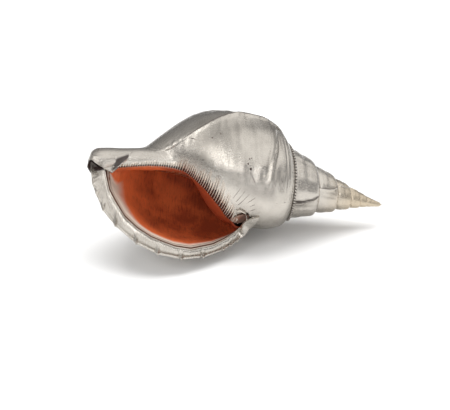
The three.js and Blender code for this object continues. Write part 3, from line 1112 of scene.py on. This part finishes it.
@dataclass
class BareMouth(Skin):
    """The mouth's bare inside: the lip's pale inner wall, the orange hollow and the columella."""

    columns: int = 120
    rows: int = 190
    depth: float = -1.25 * TAU
    wall: float = 0.9
    chamber_from: float = 156.0
    chamber_to: float = 312.0
    canal_to: float = 322.0
    canal_length: float = 0.6
    notch: float = 0.06
    reach: float = 0.28
    floor_reach: float = 1.1
    floor_lift: float = 1.3
    behind_varix: float = 5.5
    at_canal: Spot = Spot(-0.22, 0.22, 314, 7)
    at_canal_inset: float = 3.5
    pale_width: Knots = ((0, 6), (0.15, 6), (0.45, 9), (0.7, 15), (1.0, 22))
    outer_line: tuple[float, float] = (1.8, 1.2)
    inner_line: tuple[float, float] = (5.0, 0.6)

    def build(self, finish: Material) -> None:
        """Wraps a tube around the mouth's hollow, from deep inside to the lip.

        Args:
            finish: The bare shell.
        """
        g = self.lying.growth
        piece, across, along = Bench.sheet("bare_mouth", 2 * self.columns, self.rows)
        turn = self.depth * (1 - (along / self.rows)) ** 1.7
        loop = across / self.columns
        is_roof = loop <= 1
        side = (1 - np.cos(math.pi * np.where(is_roof, loop, 2 - loop))) / 2
        x = self.notch + (1 - self.notch) * side
        lip_w, lip_r, lip_t = knots(g.lips.inside_rim, x)
        edge_w, edge_t = knots(g.lips.inner, side)
        near, slow = np.exp(turn / self.reach), 1 - smoothstep(-turn, 0, self.floor_reach)
        base, end = self.distances(side, turn), self.distances(side, np.zeros_like(turn))
        opened = smoothstep(turn, -self.canal_length, 0)
        roof_t, roof_w = turn + lip_t * near, base + (lip_w - end) * slow
        roof_r = self.roof(roof_w, roof_t, opened) + (lip_r - self.roof(lip_w, lip_t, 1.0)) * near
        floor_t, floor_w = turn + edge_t * slow, base + (edge_w - end) * slow
        floor_r = g.floor_radius(floor_w, floor_t, opened) + self.floor_lift
        ends = np.clip(np.maximum(1 - side / 0.06, 0) + np.maximum(1 - (1 - side) / 0.06, 0), 0, 1)
        floor_r = floor_r + (lip_r - floor_r) * ends * slow
        t, w = np.where(is_roof, roof_t, floor_t), np.where(is_roof, roof_w, floor_w)
        points = self.lying.place(t, w, np.where(is_roof, roof_r, floor_r))
        points[across == 2 * self.columns] = points[across == 0]
        points[along == 0] = points[along == 0].mean(axis=0)
        Bench.wrap(piece, points, t, w)
        inside = -turn * np.where(is_roof, roof_r, 60)
        lines = np.clip(1.4 * bell(inside, *self.outer_line) + bell(inside, *self.inner_line), 0, 1)
        # Painted shade: darker towards the suture's side of the hollow, and on the inner side's floor near
        # the lip.
        beside = np.where(is_roof, 0, 1.9 * smoothstep(side, 0.90, 0.30))
        Bench.mark(
            piece, depth=np.where(is_roof, inside / straight(self.pale_width, x), 3),
            dusk=np.maximum(smoothstep(w, 262, 175), beside),
            line=np.where(is_roof, lines, 0),
        )
        Bench.weld(piece)
        self.turn_inside(piece, points[along == self.rows - 12].mean(axis=0))
        Bench.thicken(piece, self.wall)
        Bench.finish(piece, finish, 60, "bare_mouth")

    def distances(self, side: Array, turn: Array) -> Array:
        """Distances from the apex, between the suture's side (0) and the canal's side (1) of the hollow."""
        scale = np.exp(self.lying.growth.height_rate * turn)
        opened = smoothstep(turn, -self.canal_length, 0)
        low, high = self.chamber_from * scale, self.chamber_to * scale * (1 - opened) + self.canal_to * opened
        return low + (high - low) * side

    def roof(self, w: Array, t: Array, opened: Array | float) -> Array:
        """Radius of the inner side of the last whorl's wall.

        Args:
            w: Distances.
            t: Turn angles.
            opened: How far the canal is open, 0 to 1.

        Returns:
            The radius, set in where the outside dips behind the varix and at the canal.
        """
        g = self.lying.growth
        scale = np.exp(g.height_rate * t)
        widening = np.where(t > -3, g.mouth_widening(g.across(w, np.minimum(t, 0)), t), 0)
        floor = g.floor_radius(w, t, opened) + g.callus * scale
        inset = g.wall * scale + 1.6 * smoothstep(-t, 0.2, 0.8)
        inset = inset + self.behind_varix * bell(t, g.varices()[0] + 0.3, 0.45)
        inset = inset + self.at_canal_inset * self.at_canal.strength(t, w)
        return np.maximum(g.whorl_radius(w, t) - inset + widening, floor + 0.5 * scale)

    @staticmethod
    def turn_inside(piece: Object, middle: Array) -> None:
        """Turns the tube's faces towards the hollow, whose middle near the lip is given."""
        at = Vector(middle)
        near = [face for face in piece.data.polygons if (face.center - at).length < 90 * MM]
        if sum((at - face.center).dot(face.normal) for face in near) < 0:
            Bench.flip(piece)


@dataclass
class InnerLip(Skin):
    """The wrinkled inner lip: pale ridges with dark grooves between, like lashes along the mouth."""

    columns: int = 700
    rows: int = 30
    wall: float = 0.8
    begins: float = 0.012
    spans: float = 0.968
    spacing: Knots = ((0.2, 3.5), (0.5, 2.7))
    lengths: Knots = (
        (0.0, 6.0), (0.05, 15.0), (0.10, 24.0), (0.2, 25.0), (0.33, 21.0), (0.45, 12.0),
        (0.6, 6.5), (0.8, 5.5), (1.0, 4.0),
    )
    widths: Knots = ((0.0, 0.46), (0.3, 0.43), (0.55, 0.38))
    before_edge: float = 4.0
    ridges: int = 120

    def build(self, finish: Material) -> None:
        """Wraps a thin wrinkled strip along the mouth's inner edge.

        Args:
            finish: The plating with pale ridges and dark grooves.
        """
        g = self.lying.growth
        piece, across, along = Bench.sheet("inner_lip", self.columns, self.rows)
        side = self.begins + self.spans * across / self.columns
        q = along / self.rows
        number = self.numbers(side)
        nearest = np.floor(number).astype(int) % self.ridges
        usual = straight(self.lengths, side)
        length = usual * np.random.default_rng(21).uniform(0.7, 1.3, self.ridges)[nearest]
        lean = np.random.default_rng(22).uniform(-0.25, 0.25, self.ridges)[nearest]
        w, edge = knots(g.lips.inner, side)
        away = -self.before_edge + (self.before_edge + usual * 1.45 + 3) * q
        t = edge + away / (g.floor_at_lip(w, edge) + 1)
        reached = np.clip(away / length, 0, 1)
        gap = np.abs(number - np.floor(number) - 0.5 + lean * reached * 0.6)
        width = straight(self.widths, side) * (1 - reached**1.6)
        groove = (1 - smoothstep(gap, width - 0.07, width + 0.05)) * (away < length)
        start = smoothstep(q, 0, 0.16)
        lash = (1 - groove) * (1 - smoothstep(away / length, 0.75, 1.15)) * smoothstep(away, -3.0, -0.5)
        plump = 1.9 * start * (1 - smoothstep(q, 0.25, 0.97)) - 0.5
        r = g.floor_at_lip(w, t) + plump - 1.2 * groove * start + 0.35 * lash
        tucked = 0.9 * (1 - smoothstep(away, -2.4, -0.2)) * smoothstep(side, 0.03, 0.09)
        self.dress(piece, (t, w, r), self.wall, finish, groove=np.clip(groove + tucked, 0, 1), lash=lash)

    def numbers(self, side: Array) -> Array:
        """Counts the wrinkles along the inner lip."""
        g = self.lying.growth
        fine = np.linspace(0, 1, 600)
        w, edge = knots(g.lips.inner, fine)
        line = g.point(edge, w, g.floor_at_lip(w, edge))
        steps = np.linalg.norm(np.diff(line, axis=0), axis=1) / straight(self.spacing, fine[1:])
        return np.interp(side, fine, np.concatenate([[0], np.cumsum(steps)]))


@dataclass
class CanalFold(Skin):
    """The leaf-shaped fold over the canal, hollow like a spoon, with a thin pointed edge."""

    columns: int = 90
    rows: int = 36
    # Distance along its edge, and how far the edge hangs below the coiling axis there.
    edge: Knots = (
        (296.8, -0.5), (304.6, 9.0), (308.3, 13.0), (312.0, 16.9), (325.5, 9.2), (331.8, 4.6), (337.2, 0.5),
    )
    top: float = -6.0
    clearance: float = 1.0
    spoon: float = 1.7
    facing: float = math.radians(75.6)
    thickness: float = 0.9

    def build(self, finish: Material) -> None:
        """Wraps the fold from the neck down to its pointed edge.

        Args:
            finish: The plating.
        """
        g = self.lying.growth
        piece, across, along = Bench.sheet("canal_fold", self.columns, self.rows)
        first, last = self.edge[0][0], self.edge[-1][0]
        w = first + (last - first) * across / self.columns
        q = along / self.rows
        end = straight(self.edge, w)
        hang = self.top + (end - self.top) * q
        neck = g.neck(w) + self.clearance
        tent = np.clip(end / max(down for _, down in self.edge), 0, 1)
        ends = np.sin(math.pi * across / self.columns) ** 0.35
        out = np.sqrt(np.maximum(neck**2 - hang**2, (0.62 * neck) ** 2))
        lift = -1.2 + 2.0 * smoothstep(q, 0.0, 0.35) * ends
        out = out + lift - self.spoon * np.sin(math.pi * q) * tent + 2.0 * ends * q**6
        r, t = np.hypot(hang, out), self.facing - np.arctan2(hang, out)
        # Painted dark reflection in the spoon's hollow right arm.
        arm = smoothstep(w, 296.9, 298.0) * (1 - smoothstep(w + 5 * (1 - q), 312.0, 316.0))
        dark = 0.93 * arm * smoothstep(q, 0.22, 0.40) * (1 - smoothstep(q, 0.88, 0.94))
        self.dress(piece, (t, w, r), self.thickness, finish, groove=dark)


@dataclass
class VarixEdge(Skin):
    """The thin jagged edge of an old lip, standing a little over its crest."""

    index: int
    columns: int = 260
    rows: int = 12
    first: float = 155.0
    # Each pair holds the value of the newest edge, then that of the older ones on the spire.
    last: tuple[float, float] = (322.0, 217.0)
    height: tuple[float, float] = (0.7, 1.6)
    jaggedness: tuple[float, float] = (0.12, 0.35)
    # The newest edge's free border is darkened with painted shade.
    painted_darkness: tuple[float, float] = (0.8, 0.0)
    foot: float = 0.055
    overhang: float = 0.022
    thickness: float = 0.6

    def build(self, finish: Material) -> None:
        """Wraps the edge from its foot on the rising side to its free border.

        Args:
            finish: The plating.
        """
        g = self.lying.growth
        piece, across, along = Bench.sheet(f"varix_edge_{self.index}", self.columns, self.rows)
        on_spire = int(self.index > 0)
        scale = math.exp(g.height_rate * g.varices()[self.index])
        share, q = across / self.columns, along / self.rows
        w = (self.first + (self.last[on_spire] - self.first) * share) * scale
        at_foot = g.crest(self.index, w) - self.foot * (1 - q)
        jagged = 0.85 + self.jaggedness[on_spire] * ripple(w / scale, 60 + self.index, 6, 0.9, 2.6)
        ends = np.clip(np.sin(math.pi * share) * 3.5, 0, 1)
        lift = (-0.5 + (self.height[on_spire] * jagged + 0.5) * q**1.4) * ends - 0.6 * (1 - ends)
        t = at_foot + self.overhang * q**3 * ends
        ground = g.outer_radius(w, at_foot)
        if on_spire:
            top, low = g.suture(t), g.suture(t + TAU)
            ground = ground + PlatedSpire.relief(t, w, (w - top) / (low - top)) * scale
        # Painted shade on the newest edge's free border.
        border = self.painted_darkness[on_spire] * smoothstep(q, 0.62, 0.8)
        self.dress(piece, (t, w, ground + lift * scale), self.thickness * scale, finish, groove=border)


@dataclass
class SurfaceMarks(Skin):
    """Small pits and scratches in the plating."""

    sides: int = 18
    bevel: float = 0.2
    sink: float = 0.2
    thickness: float = 0.6
    # Turn angle, distance and size of each pit, then start, end and size of each scratch.
    pits: Knots = (
        (-4.89, 168.8, 1.5), (-4.72, 171.8, 0.8), (-4.81, 172.6, 0.95), (-4.70, 169.6, 0.7),
        (-5.50, 128.8, 0.6), (-5.40, 120.0, 0.75), (-4.36, 214.0, 0.7), (-4.30, 206.0, 0.6),
        (-2.6, 190.0, 0.8), (-1.4, 210.0, 0.7),
    )
    scratches: Knots = (
        (-4.95, 168.2, -5.15, 158.6, 0.32), (-5.60, 172.0, -5.32, 163.0, 0.22),
        (-5.66, 169.5, -5.38, 156.0, 0.26), (-5.72, 166.5, -5.52, 154.0, 0.22),
        (-5.78, 164.0, -5.62, 151.0, 0.25), (-5.54, 175.5, -5.28, 169.0, 0.20),
        (-5.50, 180.0, -5.24, 175.0, 0.20), (-3.45, 331.0, -4.40, 332.3, 0.28),
        (-4.24, 294.0, -4.80, 296.3, 0.30), (-4.18, 236.0, -4.30, 229.0, 0.25),
        (-5.0, 186.0, -5.03, 171.0, 0.18),
    )

    def build(self, finish: Material) -> None:
        """Lays a small cup at each pit and a narrow one along each scratch, and joins them.

        Args:
            finish: The dark bottom.
        """
        marks = [self.cup(t, w, t, w, size) for t, w, size in self.pits]
        marks += [self.cup(*scratch) for scratch in self.scratches]
        Bench.clear()
        for mark in marks:
            mark.select_set(True)
        bpy.context.view_layer.objects.active = marks[0]
        bpy.ops.object.join()
        piece = bpy.context.object
        piece.name = piece.data.name = "surface_marks"
        Bench.finish(piece, finish)

    def cup(self, t0: float, w0: float, t1: float, w1: float, size: float) -> Object:
        """Wraps one flat cup from one place to another.

        Args:
            t0: Turn angle of its start.
            w0: Distance of its start.
            t1: Turn angle of its end.
            w1: Distance of its end.
            size: Half its width.

        Returns:
            The cup.
        """
        g = self.lying.growth
        Bench.clear()
        bpy.ops.mesh.primitive_cylinder_add(vertices=self.sides, radius=1, depth=1)
        piece = bpy.context.object
        with Bench.editing(piece):
            bpy.ops.mesh.bevel(offset=self.bevel, segments=2)
        x, y, z = Bench.corners(piece).T
        radius = float(g.outer_radius(np.array([w0]), np.array([t0]))[0])
        long = np.array([(t1 - t0) * radius, w1 - w0])
        length = float(np.hypot(*long)) + 1e-9
        way = long / length if length > 0.01 else np.array([1.0, 0.0])
        forward = x * (length / 2 + size) + length / 2
        t = t0 + (forward * way[0] - y * size * way[1]) / radius
        w = w0 + forward * way[1] + y * size * way[0]
        surface = g.outer_radius(w, t) + PlatedBody(self.lying).relief(t, w)
        points = self.lying.place(t, w, surface + z * self.thickness - self.sink)
        piece.data.vertices.foreach_set("co", points.reshape(-1))
        piece.data.update()
        Bench.outward(piece)
        return piece


@dataclass
class NotchCurl(Skin):
    """The small pale curl round a brown hollow where the inner and the outer lip meet."""

    sides: int = 14
    rows: int = 60
    radius: float = 1.5
    seat: float = 1.6
    path: Knots = (
        (0.0, 171.5, 0.53), (0.2, 167.0, 0.58), (0.42, 160.5, 0.55), (0.64, 156.3, 0.42), (0.84, 153.5, 0.24),
        (1.0, 153.0, 0.06),
    )

    def build(self, finish: Material) -> None:
        """Wraps a tapered tube along the curl.

        Args:
            finish: The plating of the curl.
        """
        g = self.lying.growth
        piece, across, along = Bench.sheet("notch_curl", self.sides, self.rows)
        share = along / self.rows
        w, t = knots(self.path, share)
        turn = TAU * across / self.sides
        size = self.radius * np.sin(math.pi * np.clip(share, 0, 1)) ** 0.4 * (0.55 + 0.65 * share)
        size = np.where((along == 0) | (along == self.rows), 0, size)
        r = g.floor_at_lip(w, t) + self.seat + size * np.sin(turn)
        points = self.lying.place(t + size * np.cos(turn) / 62, w + 0.8 * size * np.cos(turn), r)
        Bench.wrap(piece, points, t, w)
        Bench.mark(piece, lash=0.5 + 0.3 * share)
        Bench.weld(piece)
        Bench.outward(piece)
        Bench.finish(piece, finish, 80)


@dataclass
class NotchHollow(Skin):
    """The brown hollow inside the curl, a small cup of bare shell."""

    sides: int = 24
    rows: int = 12
    middle: tuple[float, float] = (0.34, 163.0)
    wall: float = 0.5

    def build(self, finish: Material) -> None:
        """Wraps the cup.

        Args:
            finish: The bare shell.
        """
        g = self.lying.growth
        piece, across, along = Bench.sheet("notch_hollow", self.sides, self.rows)
        turn, out = TAU * across / self.sides, along / self.rows
        across_it, along_it = out * np.cos(turn), out * np.sin(turn)
        at, place = self.middle
        t = at + 0.17 * across_it - 0.06 * along_it
        w = place + 8.5 * along_it - 1.5 * across_it
        r = g.floor_at_lip(w, t) + 0.7 + 1.3 * out**3
        Bench.wrap(piece, self.lying.place(t, w, r), t, w)
        Bench.mark(piece, depth=0.95 + 0.5 * (1 - out), line=0.62 + 0.36 * smoothstep(-along_it, -0.6, 0.3))
        Bench.weld(piece)
        Bench.face_away(piece, self.lying.place(*np.array([[at], [place], [0.0]])))
        Bench.thicken(piece, self.wall)
        Bench.finish(piece, finish, 60, "bare_mouth")


@dataclass
class SutureBeads(Skin):
    """The beaded cord along the last whorl's suture."""

    beads_per_turn: int = 80
    turns: float = 1.06
    rows_per_bead: int = 6
    sides: int = 8
    radius: float = 2.3
    waist: float = 0.42
    above: float = 1.5
    lift: float = 0.5

    def build(self, finish: Material) -> None:
        """Wraps a tube that swells at each bead.

        Args:
            finish: The plating.
        """
        g = self.lying.growth
        rows = int(self.beads_per_turn * self.turns * self.rows_per_bead)
        piece, across, along = Bench.sheet("suture_beads", self.sides, rows)
        t = -TAU * self.turns * (1 - along / rows)
        scale = np.exp(g.height_rate * t)
        swell = np.abs(np.sin(math.pi * along / self.rows_per_bead)) ** 0.8
        shut = (along > 0) & (along < rows)
        size = self.radius * scale * (self.waist + (1 - self.waist) * swell) * shut
        turn = TAU * across / self.sides
        w = g.suture(t) - self.above * scale + size * np.cos(turn)
        r = g.whorl_radius(g.suture(t) + 0.01, t) + self.lift * scale + size * np.sin(turn)
        Bench.wrap(piece, self.lying.place(t, w, r), t, w)
        # Painted shade in the waists between the beads.
        Bench.mark(piece, groove=0.95 * (1 - smoothstep(swell, 0.45, 0.9)))
        Bench.weld(piece)
        Bench.outward(piece)
        Bench.finish(piece, finish, 80)


@dataclass(frozen=True)
class SoftLight:
    """A rectangular light: its name, place, target and size in metres, and its power in watts."""

    name: str
    at: tuple[float, float, float]
    target: tuple[float, float, float]
    size: tuple[float, float]
    power: float
    in_reflections: bool = True

    def hang(self) -> None:
        """Hangs the light."""
        data = bpy.data.lights.new(self.name, "AREA")
        data.shape = "RECTANGLE"
        data.size, data.size_y = self.size
        data.energy = self.power
        lamp = bpy.data.objects.new(self.name, data)
        lamp.location = self.at
        lamp.rotation_euler = (Vector(self.target) - Vector(self.at)).to_track_quat("-Z", "Y").to_euler()
        lamp.visible_glossy = self.in_reflections
        bpy.context.scene.collection.objects.link(lamp)


@dataclass
class Studio:
    """A pale floor, soft light and the camera."""

    camera_place: tuple[float, float, float] = (-0.14907, -1.05945, 0.56208)
    yaw: float = math.radians(7.10)
    elevation: float = math.radians(26.0)
    focal_length: float = 81.3
    floor_size: float = 9.0
    lights: tuple[SoftLight, ...] = (
        SoftLight("top_light", (0.05, 0.45, 2.2), (0, 0, 0), (2.2, 1.5), 46, in_reflections=False),
        SoftLight("left_light", (-1.1, -1.0, 1.1), (0, 0, 0.05), (0.6, 0.9), 5),
        SoftLight("front_light", (0.1, -1.7, 0.75), (-0.05, 0, 0.06), (0.9, 0.5), 5),
    )
    # Each panel is bounded by ramps over the direction: its axis, where it starts and where it is full.
    panels: tuple[Knots, ...] = (
        ((0, -0.14, 0.06), (0, 0.7, 0.5), (2, 0.42, 0.82, 0, 1.15), (1, 0.38, 0.0)),
        ((0, -0.20, -0.45), (2, 0.24, 0.5), (2, 0.92, 0.7), (1, 0.38, 0.0)),
        ((0, 0.38, 0.55), (2, 0.3, 0.5), (2, 0.95, 0.85), (1, 0.8, 0.6)),
    )
    wall_tones: tuple[float, float] = (0.13, 0.40)
    seen_strength: float = 1.25
    cast_strength: float = 0.75

    def build(self) -> None:
        """Builds the floor, the lights, the walls and the camera."""
        self.floor()
        for light in self.lights:
            light.hang()
        self.world()
        self.camera()
        bpy.context.scene.view_settings.view_transform = "Standard"

    def floor(self) -> None:
        """Lays the floor."""
        Bench.clear()
        bpy.ops.mesh.primitive_plane_add(size=self.floor_size, location=(0, 0, 0))
        floor = bpy.context.object
        floor.name = "studio_floor"
        material, _, shader = Nodes.material("floor_paper")
        shader.inputs["Base Color"].default_value = (0.93, 0.93, 0.93, 1)
        shader.inputs["Roughness"].default_value = 0.9
        shader.inputs["Specular IOR Level"].default_value = 0.0
        floor.data.materials.append(material)

    def world(self) -> None:
        """Surrounds the shell with grey walls that carry large soft white panels above and on both sides."""
        world = bpy.data.worlds.new("studio")
        bpy.context.scene.world = world
        world.use_nodes = True
        n = Nodes(world.node_tree)
        direction = n.add("ShaderNodeSeparateXYZ")
        n.link(n.coordinates("Generated"), direction.inputs[0])
        axes = direction.outputs
        panels = [n.product(*(n.ramp(axes[axis], *ramp) for axis, *ramp in panel)) for panel in self.panels]
        bright = n.total(n.ramp(axes[2], 0.0, 0.75, *self.wall_tones), n.total(*panels))
        background = world.node_tree.nodes["Background"]
        n.link(n.mix(bright, (0.0, 0.0, 0.004, 1), (1.0, 0.992, 0.98, 1)), background.inputs["Color"])
        is_diffuse = n.add("ShaderNodeLightPath").outputs["Is Diffuse Ray"]
        strength = n.ramp(is_diffuse, 0, 1, self.seen_strength, self.cast_strength)
        n.link(strength, background.inputs["Strength"])

    def camera(self) -> None:
        """Sets the camera at the photograph's viewing angle."""
        data = bpy.data.cameras.new("camera")
        data.lens = self.focal_length
        data.sensor_width = 36
        data.sensor_fit = "HORIZONTAL"
        camera = bpy.data.objects.new("camera", data)
        camera.location = self.camera_place
        look = Vector((
            math.sin(self.yaw) * math.cos(self.elevation),
            math.cos(self.yaw) * math.cos(self.elevation),
            -math.sin(self.elevation),
        ))
        camera.rotation_euler = look.to_track_quat("-Z", "Y").to_euler()
        bpy.context.scene.collection.objects.link(camera)
        bpy.context.scene.camera = camera


def main() -> None:
    """Builds the shell's pieces in order, then the studio."""
    logging.basicConfig(level=logging.INFO, format="%(message)s")
    lying = Lying.on_solid(Growth())
    silver = Plating("silver_plate").build()
    lip_silver = Plating("inner_lip_silver", stains=0.3, dark=Tone.MAROON, pale_lashes=0.7).build()
    dark = DarkMark().build()
    bare = BareShell().build()
    PlatedSpire(lying).build(silver)
    PlatedBody(lying).build(silver)
    BareMouth(lying).build(bare)
    InnerLip(lying).build(lip_silver)
    CanalFold(lying).build(silver)
    for index in (0, *PlatedSpire.edged_varices):
        VarixEdge(lying, index).build(silver)
    NotchCurl(lying).build(lip_silver)
    NotchHollow(lying).build(bare)
    SurfaceMarks(lying).build(dark)
    SutureBeads(lying).build(silver)
    Studio().build()


if __name__ == "__main__":
    main()
